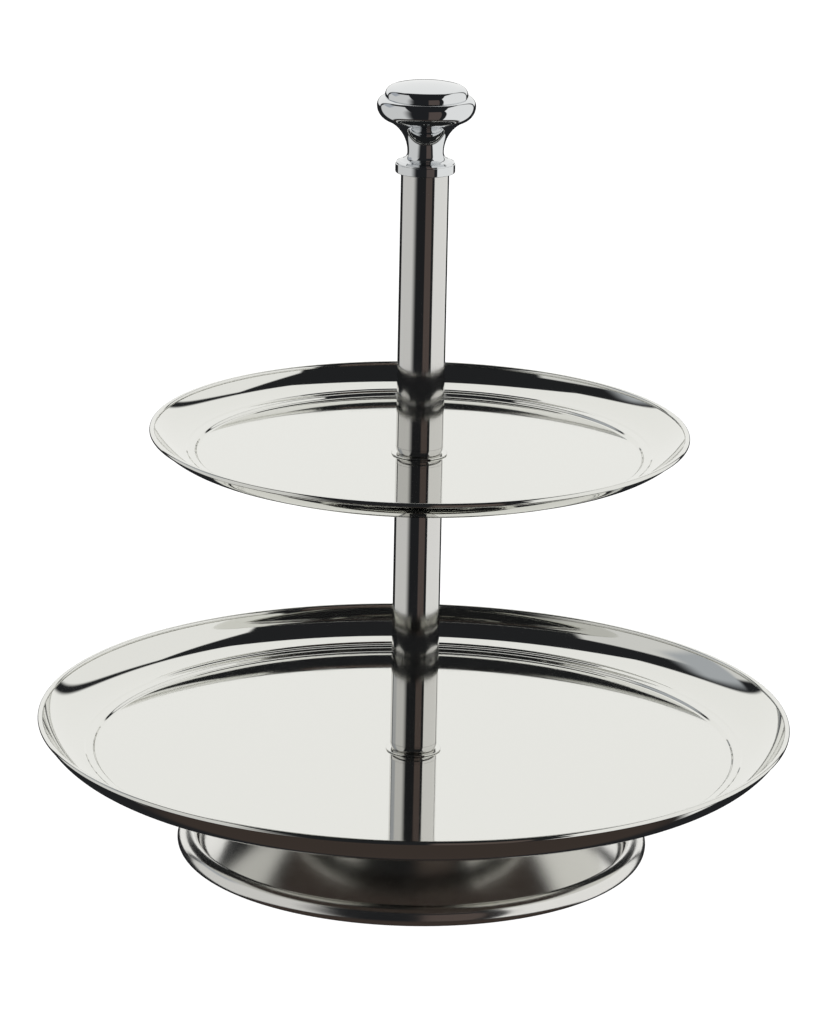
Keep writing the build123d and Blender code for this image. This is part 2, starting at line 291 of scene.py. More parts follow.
# ---------------------------------------------------------------------------------------------
# Finishes
# ---------------------------------------------------------------------------------------------


# Number of a colour mix node's two inputs and of its result
MIX_UNDER, MIX_OVER, MIX_RESULT = 6, 7, 2
# How rough the noise of the polishing lines is
LINE_NOISE = {"Detail": 2.0, "Roughness": 0.6}
# How far lengthways lines are drawn out along the axis, as a share of the noise's own scale
DRAWN_OUT = 0.01
# Slow waves of spun sheet and wiping marks, in waves a metre: some 40 mm and 12 mm long
SHEET_WAVES = 25.0
WIPING_MARKS = 80.0
# Part of the wiping noise over which the roughness rises
WIPED_FROM, WIPED_TO = 0.35, 0.75


def linear(code: str, alpha: float = 1.0) -> Colour:
    """Linear colour of an sRGB hex code: ((c + 0.055) / 1.055) ^ 2.4, or c / 12.92 when dark."""
    parts = [int(code[place : place + 2], 16) / 255 for place in (0, 2, 4)]
    red, green, blue = (
        ((part + 0.055) / 1.055) ** 2.4 if part > 0.04045 else part / 12.92 for part in parts
    )
    return red, green, blue, alpha


def add_node(
    tree: bpy.types.NodeTree,
    kind: str,
    settings: dict[str, Any] | None = None,
    inputs: dict[Any, Any] | None = None,
) -> bpy.types.Node:
    """Adds one node with its settings, values and links.

    Args:
        tree: The node tree to add to.
        kind: The node's type name.
        settings: Properties of the node.
        inputs: Values, or output sockets to link, by the input's name or number.

    Returns:
        The new node.
    """
    node = tree.nodes.new(kind)
    for key, value in (settings or {}).items():
        setattr(node, key, value)
    for key, value in (inputs or {}).items():
        if isinstance(value, bpy.types.NodeSocket):
            tree.links.new(value, node.inputs[key])
        else:
            node.inputs[key].default_value = value
    return node


class Lay(Enum):
    """Which way the fine lines of the last polishing step run."""

    CIRCLES = "circles round the axis, as on a spun or turned face"
    LENGTHWAYS = "along the axis, as on a drawn tube"


@dataclass(frozen=True)
class PolishedMetal:
    """A bare or plated metal surface with a polish that is nearly a mirror.

    Attributes:
        name: Material name.
        colour: sRGB hex of the reflection at normal incidence.
        roughness: Roughness of the polish.
        smear: How far handling and wiping vary the roughness.
        lay: Direction of the polishing lines.
        line_spacing: Spacing of the polishing lines, metres. Real ones are 0.05 mm to 0.2 mm
            apart, too fine to show, so they are drawn coarser.
        line_depth: Depth of the lines, metres.
        sheet_wave: Height of the slow unevenness that spinning leaves in sheet, metres.
    """

    name: str
    colour: str
    roughness: float
    smear: float
    lay: Lay
    line_spacing: float
    line_depth: float
    sheet_wave: float = 0.0

    def material(self) -> bpy.types.Material:
        """Returns the material, made on first use."""
        if self.name in bpy.data.materials:
            return bpy.data.materials[self.name]
        material = bpy.data.materials.new(self.name)
        material.use_nodes = True
        tree = material.node_tree
        tree.nodes.clear()
        where = add_node(tree, "ShaderNodeTexCoord").outputs["Object"]
        split = add_node(tree, "ShaderNodeSeparateXYZ", inputs={0: where})
        flat = add_node(
            tree, "ShaderNodeCombineXYZ", inputs={0: split.outputs[0], 1: split.outputs[1]}
        )
        radius = add_node(
            tree, "ShaderNodeVectorMath", {"operation": "LENGTH"}, {0: flat.outputs[0]}
        ).outputs["Value"]
        if self.lay is Lay.CIRCLES:
            # Lines at one radius and height keep their depth all the way round
            across = add_node(
                tree, "ShaderNodeMath", {"operation": "ADD"}, {0: radius, 1: split.outputs[2]}
            ).outputs[0]
            lines = add_node(
                tree,
                "ShaderNodeTexNoise",
                {"noise_dimensions": "1D"},
                {"W": across, "Scale": 1 / self.line_spacing, **LINE_NOISE},
            )
        else:
            stretched = add_node(
                tree, "ShaderNodeMapping", inputs={"Vector": where, "Scale": (1.0, 1.0, DRAWN_OUT)}
            )
            lines = add_node(
                tree,
                "ShaderNodeTexNoise",
                inputs={
                    "Vector": stretched.outputs[0],
                    "Scale": 1 / self.line_spacing,
                    **LINE_NOISE,
                },
            )
        bump = add_node(
            tree,
            "ShaderNodeBump",
            inputs={"Height": lines.outputs[0], "Strength": 1.0, "Distance": self.line_depth},
        )
        normal = bump.outputs[0]
        if self.sheet_wave:
            waves = add_node(
                tree,
                "ShaderNodeTexNoise",
                inputs={"Vector": where, "Scale": SHEET_WAVES, "Detail": 1.0},
            )
            normal = add_node(
                tree,
                "ShaderNodeBump",
                inputs={
                    "Height": waves.outputs[0],
                    "Strength": 1.0,
                    "Distance": self.sheet_wave,
                    "Normal": normal,
                },
            ).outputs[0]
        wiped = add_node(
            tree,
            "ShaderNodeTexNoise",
            inputs={"Vector": where, "Scale": WIPING_MARKS, "Detail": 3.0, "Distortion": 0.6},
        )
        roughness = add_node(
            tree,
            "ShaderNodeMapRange",
            inputs={
                "Value": wiped.outputs[0],
                "From Min": WIPED_FROM,
                "From Max": WIPED_TO,
                "To Min": self.roughness,
                "To Max": self.roughness + self.smear,
            },
        )
        shader = add_node(
            tree,
            "ShaderNodeBsdfPrincipled",
            inputs={
                "Base Color": linear(self.colour),
                "Metallic": 1.0,
                "Roughness": roughness.outputs[0],
                "Normal": normal,
            },
        )
        add_node(tree, "ShaderNodeOutputMaterial", inputs={"Surface": shader.outputs[0]})
        return material


# 18/10 stainless sheet, spun and mirror polished: a slightly warm grey mirror with faint circles
SPUN_STAINLESS = PolishedMetal(
    "Mirror polished 18-10 stainless sheet",
    "E3E3DF",
    0.035,
    0.03,
    Lay.CIRCLES,
    0.9 * MM,
    0.00002 * MM,
    0.004 * MM,
)
# Buffed stainless sheet: the foot has a softer shine than the trays, so its reflections blur
BUFFED_STAINLESS = PolishedMetal(
    "Buffed 18-10 stainless sheet", "E0DFDC", 0.15, 0.04, Lay.CIRCLES, 0.8 * MM, 0.0002 * MM
)
# Drawn stainless tube, belt polished along its length, which spreads reflections sideways a little
DRAWN_STAINLESS = PolishedMetal(
    "Belt polished stainless tube", "D6D5D3", 0.055, 0.03, Lay.LENGTHWAYS, 0.5 * MM, 0.0006 * MM
)
# Bright chrome over buffed metal: cooler and sharper than the steel
CHROME_PLATE = PolishedMetal(
    "Bright chrome plate", "DCDEE0", 0.02, 0.015, Lay.CIRCLES, 0.8 * MM, 0.00001 * MM
)
# Zinc plate on rolled and cold formed steel: bluish and satin, with draw marks
ZINC_PLATE = PolishedMetal(
    "Bright zinc plated steel", "B4B8BC", 0.28, 0.12, Lay.CIRCLES, 0.6 * MM, 0.002 * MM
)
# Machined brass with the tool's fine rings
TURNED_BRASS = PolishedMetal(
    "Machined brass", "D2AE62", 0.24, 0.08, Lay.CIRCLES, 0.4 * MM, 0.003 * MM
)


class RecordSlot(Enum):
    """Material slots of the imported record."""

    STAINLESS = "polished_stainless"
    CHROME = "chrome_plate"
    ZINC = "zinc_steel"
    BRASS = "brass"


def place(
    piece: bpy.types.Object, node: str, body: str, finish: PolishedMetal, slot: RecordSlot
) -> None:
    """Gives a piece its finish and body, in place of the CAD node of one name.

    Args:
        piece: The finished piece.
        node: The CAD node that it stands for.
        body: The CAD body that it rides on.
        finish: Its surface.
        slot: The record's material slot; not used.
    """
    piece.data.materials.append(finish.material())
    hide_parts(node)
    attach(piece, body)
    LOG.info("%s rides on %s in %s", piece.name, body, finish.name)


def keep(node: str, finish: PolishedMetal) -> None:
    """Dresses a CAD node whose own shape stays in view.

    Args:
        node: The CAD node.
        finish: Its surface.
    """
    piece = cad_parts[node]
    piece.data.materials.clear()
    piece.data.materials.append(finish.material())
    LOG.info("%s keeps its CAD shape, in %s", node, finish.name)


# ---------------------------------------------------------------------------------------------
# The stand's pieces
# ---------------------------------------------------------------------------------------------


@dataclass
class Foot:
    """The spun foot and the hardware that clamps the rod under it."""

    height: float = 43.0 * MM
    radius: float = 100.3 * MM
    sheet: float = 1.0 * MM
    bead: float = 4.3 * MM
    bead_flat: float = 0.1 * MM
    curl: float = 310.0
    dome_arc: float = 400.0 * MM
    steepness: float = 42.0
    edge_round: float = 10.0 * MM
    hole: float = 4.1 * MM
    washer_radius: float = 18.0 * MM
    washer_round: float = 0.25 * MM
    dome_pitch: float = 1.5
    curl_pitch: float = 5.0
    inner_curl_pitch: float = 6.0
    columns: int = 360
    washer_columns: int = 96
    body: str = "base"

    def dome_section(self) -> list[Run]:
        """Section of the dome and its curl, walked with the metal on the left.

        The dome's arc is tangent to the curl where both stand at the dome's steepness, and the
        two faces of the sheet are concentric arcs one sheet apart.
        """
        bead_r, bead_z = self.radius - self.bead, self.bead - self.bead_flat
        curl_start = 270.0 - self.steepness
        curl_end = curl_start + self.curl
        reach = self.dome_arc + self.bead - self.sheet
        dome_r = bead_r + reach * cos(radians(curl_start))
        dome_z = bead_z + reach * sin(radians(curl_start))
        round_z = self.height - self.edge_round
        round_r = dome_r + sqrt((self.dome_arc - self.edge_round) ** 2 - (round_z - dome_z) ** 2)
        meet = degrees(atan2(round_z - dome_z, round_r - dome_r))
        dome_start = 90.0 - self.steepness
        inner = self.bead - self.sheet
        half_flat = sqrt(self.bead**2 - bead_z**2)
        flat_start = degrees(atan2(-bead_z, -half_flat)) % 360
        flat_end = degrees(atan2(-bead_z, half_flat)) % 360
        ends = [
            (bead_r + size * cos(radians(curl_end)), bead_z + size * sin(radians(curl_end)))
            for size in (self.bead, inner)
        ]
        return [
            straight((self.hole, self.height - self.sheet), (round_r, self.height - self.sheet)),
            arc((round_r, round_z), self.edge_round - self.sheet, 90.0, meet, BEND_PITCH),
            arc((dome_r, dome_z), self.dome_arc - self.sheet, meet, dome_start, self.dome_pitch),
            arc((bead_r, bead_z), self.bead, curl_start, flat_start, self.curl_pitch),
            straight((bead_r - half_flat, 0.0), (bead_r + half_flat, 0.0)),
            arc((bead_r, bead_z), self.bead, flat_end, curl_end, self.curl_pitch),
            straight(ends[0], ends[1]),
            arc((bead_r, bead_z), inner, curl_end, curl_start, self.inner_curl_pitch),
            arc((dome_r, dome_z), self.dome_arc, dome_start, meet, self.dome_pitch),
            arc((round_r, round_z), self.edge_round, meet, 90.0, BEND_PITCH),
            straight((round_r, self.height), (self.hole, self.height)),
            straight((self.hole, self.height), (self.hole, self.height - self.sheet)),
        ]

    def build(self) -> None:
        """Builds and dresses the foot shell, its washers and its nut."""
        shell = turned("foot_shell_spun", self.dome_section(), self.columns)
        place(shell, "foot_shell", self.body, BUFFED_STAINLESS, RecordSlot.STAINLESS)
        low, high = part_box("foot_washer")
        section = ring_section(self.hole, self.washer_radius, low[2], high[2], self.washer_round)
        washer = turned("foot_washer_plain", section, self.washer_columns)
        place(washer, "foot_washer", self.body, ZINC_PLATE, RecordSlot.ZINC)
        keep("lock_washer", ZINC_PLATE)
        keep("foot_nut", ZINC_PLATE)


@dataclass
class TieRod:
    """The rod on the axis, rolled with a thread at both ends."""

    radius: float = 4.0 * MM
    pitch: float = 1.25 * MM
    depth: float = 0.55 * MM
    tail_thread: float = 18.0 * MM
    head_thread: float = 16.0 * MM
    chamfer: float = 0.8 * MM
    trough_level: float = 0.5
    trough_swing: float = 0.62
    samples_a_turn: int = 10
    shank_rings: int = 12
    columns: int = 40
    sharp: float = 50.0
    body: str = "base"

    def build(self) -> None:
        """Builds the rod.

        The thread is r = R - D w(u), where u = z / pitch - a / 2 pi is the place along the helix,
        w is a rounded trough that is 0 on the crest, and D fades in over the first pitch.
        """
        low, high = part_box("tie_rod")
        bottom, top = low[2], high[2]
        step = self.pitch / self.samples_a_turn
        threads = [
            np.arange(bottom + self.chamfer, bottom + self.tail_thread, step),
            np.arange(top - self.head_thread, top - self.chamfer, step),
        ]
        heights = np.concatenate(
            (
                threads[0],
                np.linspace(threads[0][-1] + step, threads[1][0] - step, self.shank_rings),
                threads[1],
            )
        )
        angle = np.linspace(0.0, 2 * pi, self.columns, endpoint=False)
        along = heights[:, None] / self.pitch - angle[None] / (2 * pi)
        trough = self.trough_level - self.trough_swing * np.cos(2 * pi * along)
        trough = np.clip(trough, 0.0, 1.0)
        fade = np.maximum(
            np.clip((threads[0][-1] - heights) / self.pitch, 0.0, 1.0),
            np.clip((heights - threads[1][0]) / self.pitch, 0.0, 1.0),
        )
        radius = self.radius - self.depth * trough * fade[:, None]
        spokes = np.stack((np.cos(angle), np.sin(angle)), -1)
        upward = np.broadcast_to(heights[:, None, None], (*radius.shape, 1))
        side = np.concatenate((radius[..., None] * spokes[None], upward), -1)

        def cap(height: float, size: float) -> np.ndarray:
            """Returns one ring of that height and radius."""
            return np.concatenate((size * spokes, np.full((self.columns, 1), height)), -1)[None]

        face = self.radius - self.chamfer
        grid = np.concatenate(
            (cap(bottom, 0.0), cap(bottom, face), side, cap(top, face), cap(top, 0.0))
        )
        rod = skin("tie_rod_threaded", grid)
        rod.data.set_sharp_from_angle(angle=radians(self.sharp))
        place(rod, "tie_rod", self.body, ZINC_PLATE, RecordSlot.ZINC)


@dataclass
class Tray:
    """One spun tray; heights of its section are above the flat well."""

    node: str
    rim_radius: float
    depth: float
    well_radius: float
    flange_start: float
    sheet: float = 1.0 * MM
    hole: float = 6.08 * MM
    step: Point = (1.0 * MM, 1.3 * MM)
    ledge: Point = (2.9 * MM, 0.3 * MM)
    crease: Point = (0.9 * MM, 0.5 * MM)
    flange_lead: float = 0.4 * MM
    step_round: float = 1.1 * MM
    rim_bead: float = 1.1 * MM
    buried_share: float = 0.3
    flange_pitch: float = 1.2
    bead_pitch: float = 8.0
    columns: int = 360

    def section(self, well: float) -> list[Run]:
        """Section of the tray, walked along the underside, round the bead and back over the top.

        The flange is one arc, tangent to its short lead at the crease. It turns by twice the
        angle between the lead and its chord, so its radius R is chord / (2 sin(half turn)). Each
        face stops where it enters the bead: for a bead of radius b at a distance D, that is
        acos((R^2 + D^2 - b^2) / (2 R D)) short of the bead's own direction.

        Args:
            well: Height of the well's upper face.

        Returns:
            The closed section.
        """
        tilt = radians(self.flange_start)
        lead = (self.flange_lead * cos(tilt), self.flange_lead * sin(tilt))
        corners: list[Point] = [(self.hole, well), (self.well_radius, well)]
        for run, rise in (self.step, self.ledge, self.crease, lead):
            corners.append((corners[-1][0] + run, corners[-1][1] + rise))
        bead = (self.rim_radius - self.rim_bead, well + self.depth - self.rim_bead)
        bury = self.buried_share * self.rim_bead
        across = bead[0] - bury - corners[-1][0]
        up = bead[1] + bury - corners[-1][1]
        half_turn = atan2(up, across) - tilt
        radius = hypot(across, up) / (2 * sin(half_turn))
        centre = (corners[-1][0] - radius * sin(tilt), corners[-1][1] + radius * cos(tilt))
        reach = hypot(bead[0] - centre[0], bead[1] - centre[1])
        to_bead = degrees(atan2(bead[1] - centre[1], bead[0] - centre[0]))
        faces = []
        for size in (radius, radius + self.sheet):
            gap = acos((size**2 + reach**2 - self.rim_bead**2) / (2 * size * reach))
            first, last = self.flange_start - 90, to_bead - degrees(gap)
            faces.append(arc(centre, size, first, last, self.flange_pitch))

        steps = rounded(corners, [self.step_round] * 4)
        upper = [*steps, faces[0]]
        under = [*(run.shifted(self.sheet) for run in steps), faces[1]]
        start, end = (
            degrees(atan2(run.points[-1][1] - bead[1], run.points[-1][0] - bead[0])) % 360
            for run in (under[-1], upper[-1])
        )
        start -= 360 if start > end else 0
        wall = straight((self.hole, well), (self.hole, well - self.sheet))
        back = [run.turned_back() for run in reversed(upper)]
        return [*under, arc(bead, self.rim_bead, start, end, self.bead_pitch), *back, wall]

    def build(self) -> None:
        """Builds and dresses the tray."""
        low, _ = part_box(self.node)
        piece = turned(f"{self.node}_spun", self.section(low[2] + self.sheet), self.columns)
        place(piece, self.node, self.node, SPUN_STAINLESS, RecordSlot.STAINLESS)


@dataclass
class Bush:
    """The flanged bush in a tray's hole."""

    node: str
    sleeve: float = 6.0 * MM
    flange: float = 11.7 * MM
    thickness: float = 0.5 * MM
    edge: float = 0.2 * MM
    bore: float = 4.1 * MM
    columns: int = 128

    def build(self) -> None:
        """Builds and dresses the bush."""
        low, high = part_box(self.node)
        foot, top = low[2], high[2]
        under = top - self.thickness
        section = [
            straight((self.bore, foot), (self.sleeve, foot)),
            straight((self.sleeve, foot), (self.sleeve, under)),
            straight((self.sleeve, under), (self.flange - self.edge, under)),
            arc((self.flange - self.edge, under + self.edge), self.edge, -90, 0, EDGE_PITCH),
            straight((self.flange, under + self.edge), (self.flange, top - self.edge)),
            arc((self.flange - self.edge, top - self.edge), self.edge, 0, 90, EDGE_PITCH),
            straight((self.flange - self.edge, top), (self.bore, top)),
            straight((self.bore, top), (self.bore, foot)),
        ]
        piece = turned(f"{self.node}_turned", section, self.columns)
        place(piece, self.node, self.node, SPUN_STAINLESS, RecordSlot.STAINLESS)


@dataclass
class Post:
    """A tube with the rounded plug it stands on, and a plug at its top where it has one."""

    body: str
    tube: str
    foot: str
    plug: str | None = None
    radius: float = 10.0 * MM
    bore: float = 9.0 * MM
    rod_hole: float = 4.1 * MM
    tuck: float = 1.2 * MM
    head: float = 3.0 * MM
    edge: float = 0.15 * MM
    tuck_pitch: float = 5.0
    columns: int = 192
    plug_columns: int = 96

    def build(self) -> None:
        """Builds and dresses the tube and its plugs."""
        low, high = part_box(self.tube)
        section = ring_section(self.bore, self.radius, low[2], high[2], self.edge)
        tube = turned(f"{self.tube}_drawn", section, self.columns)
        place(tube, self.tube, self.body, DRAWN_STAINLESS, RecordSlot.STAINLESS)

        low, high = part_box(self.foot)
        foot, seat, top = low[2], low[2] + self.head, high[2]
        section = [
            straight((self.rod_hole, foot), (self.radius - self.tuck, foot)),
            arc(
                (self.radius - self.tuck, seat), (self.tuck, self.head), -90, 0, self.tuck_pitch
            ),
            straight((self.radius, seat), (self.bore, seat)),
            straight((self.bore, seat), (self.bore, top)),
            straight((self.bore, top), (self.rod_hole, top)),
            straight((self.rod_hole, top), (self.rod_hole, foot)),
        ]
        piece = turned(f"{self.foot}_turned", section, self.columns)
        place(piece, self.foot, self.body, DRAWN_STAINLESS, RecordSlot.STAINLESS)

        if self.plug:
            low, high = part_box(self.plug)
            section = ring_section(self.rod_hole, self.bore, low[2], high[2], self.edge)
            piece = turned(f"{self.plug}_turned", section, self.plug_columns)
            place(piece, self.plug, self.body, DRAWN_STAINLESS, RecordSlot.STAINLESS)


@dataclass
class Knob:
    """The turned collar, the cast knob and its brass insert."""

    collar_radius: float = 12.4 * MM
    collar_height: float = 3.8 * MM
    collar_round: float = 0.4 * MM
    spigot_radius: float = 8.92 * MM
    rod_hole: float = 4.1 * MM
    base_radius: float = 12.1 * MM
    base_edge: float = 0.45 * MM
    base_slope: float = 0.7 * MM
    neck_radius: float = 7.54 * MM
    neck_flare: float = 3.4 * MM
    ring_radius: float = 20.45 * MM
    ring_height: float = 24.2 * MM
    ring_lower_arc: float = 6.5 * MM
    ring_upper_arc: float = 3.65 * MM
    cap_radius: float = 17.2 * MM
    cap_edge: float = 0.6 * MM
    cap_arc: float = 3.8 * MM
    cap_rise: float = 6.2 * MM
    insert_radius: float = 5.25 * MM
    insert_length: float = 14.0 * MM
    insert_relief: float = 2.0 * MM
    insert_bore: float = 4.05 * MM
    insert_edge: float = 0.2 * MM
    collar_pitch: float = 12.0
    flare_pitch: float = 4.0
    throat_pitch: float = 2.5
    crown_pitch: float = 0.7
    columns: int = 256
    collar_columns: int = 192
    insert_columns: int = 64

    def collar_section(self, low: float, high: float) -> list[Run]:
        """Section of the collar and its spigot between two heights."""
        seat = high - self.collar_height
        edge, rim = self.collar_round, self.collar_radius - self.collar_round
        return [
            straight((self.rod_hole, low), (self.spigot_radius, low)),
            straight((self.spigot_radius, low), (self.spigot_radius, seat)),
            straight((self.spigot_radius, seat), (rim, seat)),
            arc((rim, seat + edge), edge, -90, 0, self.collar_pitch),
            straight((self.collar_radius, seat + edge), (self.collar_radius, high - edge)),
            arc((rim, high - edge), edge, 0, 90, self.collar_pitch),
            straight((rim, high), (self.rod_hole, high)),
            straight((self.rod_hole, high), (self.rod_hole, low)),
        ]

    def knob_section(self, base: float) -> list[Run]:
        """Section of the knob, from the insert's blind hole round the outside to its crown.

        The throat is the arc that leaves the neck upright and is tangent to the ring's lower arc.
        The crown is the arc centred on the axis that is tangent to the cap's shoulder.

        Args:
            base: Height of the knob's foot.

        Returns:
            The section, from the axis back to the axis.
        """
        edge_z = base + self.base_edge
        flare_z = edge_z + self.base_slope
        neck_z = flare_z + self.neck_flare
        flare_r = self.neck_radius + self.neck_flare
        ring_z = base + self.ring_height
        ring_r = self.ring_radius - self.ring_lower_arc
        across, up = ring_r - self.neck_radius, ring_z - neck_z
        throat = (across**2 + up**2 - self.ring_lower_arc**2) / (2 * (self.ring_lower_arc + across))
        throat_r = self.neck_radius + throat
        join = degrees(atan2(neck_z - ring_z, throat_r - ring_r))

        upper_r = self.ring_radius - self.ring_upper_arc
        rise = sqrt(self.ring_upper_arc**2 - (self.cap_radius - upper_r) ** 2)
        cap_z = ring_z + rise
        meet = degrees(atan2(rise, self.cap_radius - upper_r))
        shoulder_z = cap_z + self.cap_edge
        shoulder_r = self.cap_radius - self.cap_arc
        apex = cap_z + self.cap_rise
        drop = shoulder_z - apex
        crown = (shoulder_r**2 + drop**2 - self.cap_arc**2) / (-2 * (self.cap_arc + drop))
        crown_z = apex - crown
        lean = degrees(atan2(shoulder_z - crown_z, shoulder_r))

        hole_z = base + self.insert_length
        blind_z = hole_z + self.insert_relief
        return [
            straight((0.0, blind_z), (self.rod_hole, blind_z)),
            straight((self.rod_hole, blind_z), (self.rod_hole, hole_z)),
            straight((self.rod_hole, hole_z), (self.insert_radius, hole_z)),
            straight((self.insert_radius, hole_z), (self.insert_radius, base)),
            straight((self.insert_radius, base), (self.base_radius, base)),
            straight((self.base_radius, base), (self.base_radius, edge_z)),
            straight((self.base_radius, edge_z), (flare_r, flare_z)),
            arc((flare_r, neck_z), self.neck_flare, 270, 180, self.flare_pitch),
            arc((throat_r, neck_z), throat, 180, join + 180, self.throat_pitch),
            arc((ring_r, ring_z), self.ring_lower_arc, join, 0, BEND_PITCH),
            arc((upper_r, ring_z), self.ring_upper_arc, 0, meet, BEND_PITCH),
            straight((self.cap_radius, cap_z), (self.cap_radius, shoulder_z)),
            arc((shoulder_r, shoulder_z), self.cap_arc, 0, lean, BEND_PITCH),
            arc((0.0, crown_z), crown, lean, 90, self.crown_pitch),
        ]

    def build(self) -> None:
        """Builds and dresses the collar, the knob and the insert."""
        low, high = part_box("knob_collar")
        section = self.collar_section(low[2], high[2])
        collar = turned("knob_collar_turned", section, self.collar_columns)
        place(collar, "knob_collar", "knob_collar", CHROME_PLATE, RecordSlot.CHROME)
        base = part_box("knob")[0][2]
        knob = turned("knob_cast", self.knob_section(base), self.columns, closed=False)
        place(knob, "knob", "knob", CHROME_PLATE, RecordSlot.CHROME)
        low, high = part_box("knob_insert")
        section = ring_section(
            self.insert_bore, self.insert_radius, low[2], high[2], self.insert_edge
        )
        insert = turned("knob_insert_brass", section, self.insert_columns)
        place(insert, "knob_insert", "knob", TURNED_BRASS, RecordSlot.BRASS)


# ---------------------------------------------------------------------------------------------
# The studio
# ---------------------------------------------------------------------------------------------


@dataclass(frozen=True)
class Panel:
    """An upright flat panel of the room, seen by direction from the stand.

    Bearings are in degrees from the camera's side, positive to the right. Heights are shares of
    the panel's distance, so the top edge looks straight from where the stand is.

    Attributes:
        colour: sRGB hex.
        bearing: Bearing that the panel faces.
        left: Bearing of its left edge, from the one it faces.
        right: Bearing of its right edge, from the one it faces.
        top: Height of its top edge.
        fall_left: How fast the top edge falls to the left.
        fall_right: How fast it falls to the right.
        low: Lower edge, degrees above the horizon.
        soft: Half width of the soft side edges, degrees, left and right.
        soft_top: Half width of the soft top edge, as a share of the distance.
        soft_low: Half width of the soft lower edge, degrees.
    """

    colour: str
    bearing: float
    left: float
    right: float
    top: float
    fall_left: float = 0.0
    fall_right: float = 0.0
    low: float = -46.0
    soft: tuple[float, float] = (1.5, 1.5)
    soft_top: float = 0.05
    soft_low: float = 2.0

    def mask(self, tree: bpy.types.NodeTree, where: bpy.types.NodeSocket) -> bpy.types.NodeSocket:
        """Adds the nodes of the panel's mask, a product of smooth steps.

        With t the part of the direction towards the panel, s the part to its right and z its
        height, the side edges are steps on atan2(s, t), the lower edge is one on z, and the top
        edge is one on z / t + fall |s / t|.

        Args:
            tree: The world's node tree.
            where: The direction.

        Returns:
            The socket of the mask, from 0 to 1.
        """

        def calc(operation: str, *values: Any) -> bpy.types.NodeSocket:
            """Returns the result of one arithmetic node."""
            inputs = dict(enumerate(values))
            return add_node(tree, "ShaderNodeMath", {"operation": operation}, inputs).outputs[0]

        def part(axis: tuple[float, float, float]) -> bpy.types.NodeSocket:
            """Returns the direction's part along an axis."""
            settings = {"operation": "DOT_PRODUCT"}
            node = add_node(tree, "ShaderNodeVectorMath", settings, {0: where, 1: axis})
            return node.outputs["Value"]

        angle = radians(self.bearing)
        towards = part((sin(angle), -cos(angle), 0.0))
        aside = part((cos(angle), sin(angle), 0.0))
        height = part((0.0, 0.0, 1.0))
        off = calc("ARCTAN2", aside, towards)
        slant = calc("DIVIDE", aside, towards)
        ridge = calc("DIVIDE", height, towards)
        fall = calc("MULTIPLY", calc("MAXIMUM", slant, 0.0), self.fall_right)
        ridge = calc("ADD", ridge, fall)
        fall = calc("MULTIPLY", calc("MINIMUM", slant, 0.0), self.fall_left)
        ridge = calc("SUBTRACT", ridge, fall)
        left, right = radians(self.left), radians(self.right)
        soft = [radians(width) for width in self.soft]
        below, above = (radians(self.low + side * self.soft_low) for side in (-1, 1))
        edges = [
            (off, left - soft[0], left + soft[0]),
            (off, right + soft[1], right - soft[1]),
            (ridge, self.top + self.soft_top, self.top - self.soft_top),
            (height, sin(below), sin(above)),
        ]
        result: Any = 1.0
        for value, outside, inside in edges:
            step = add_node(
                tree,
                "ShaderNodeMapRange",
                {"interpolation_type": "SMOOTHSTEP"},
                {"Value": value, "From Min": outside, "From Max": inside},
            )
            result = calc("MULTIPLY", result, step.outputs[0])
        return result


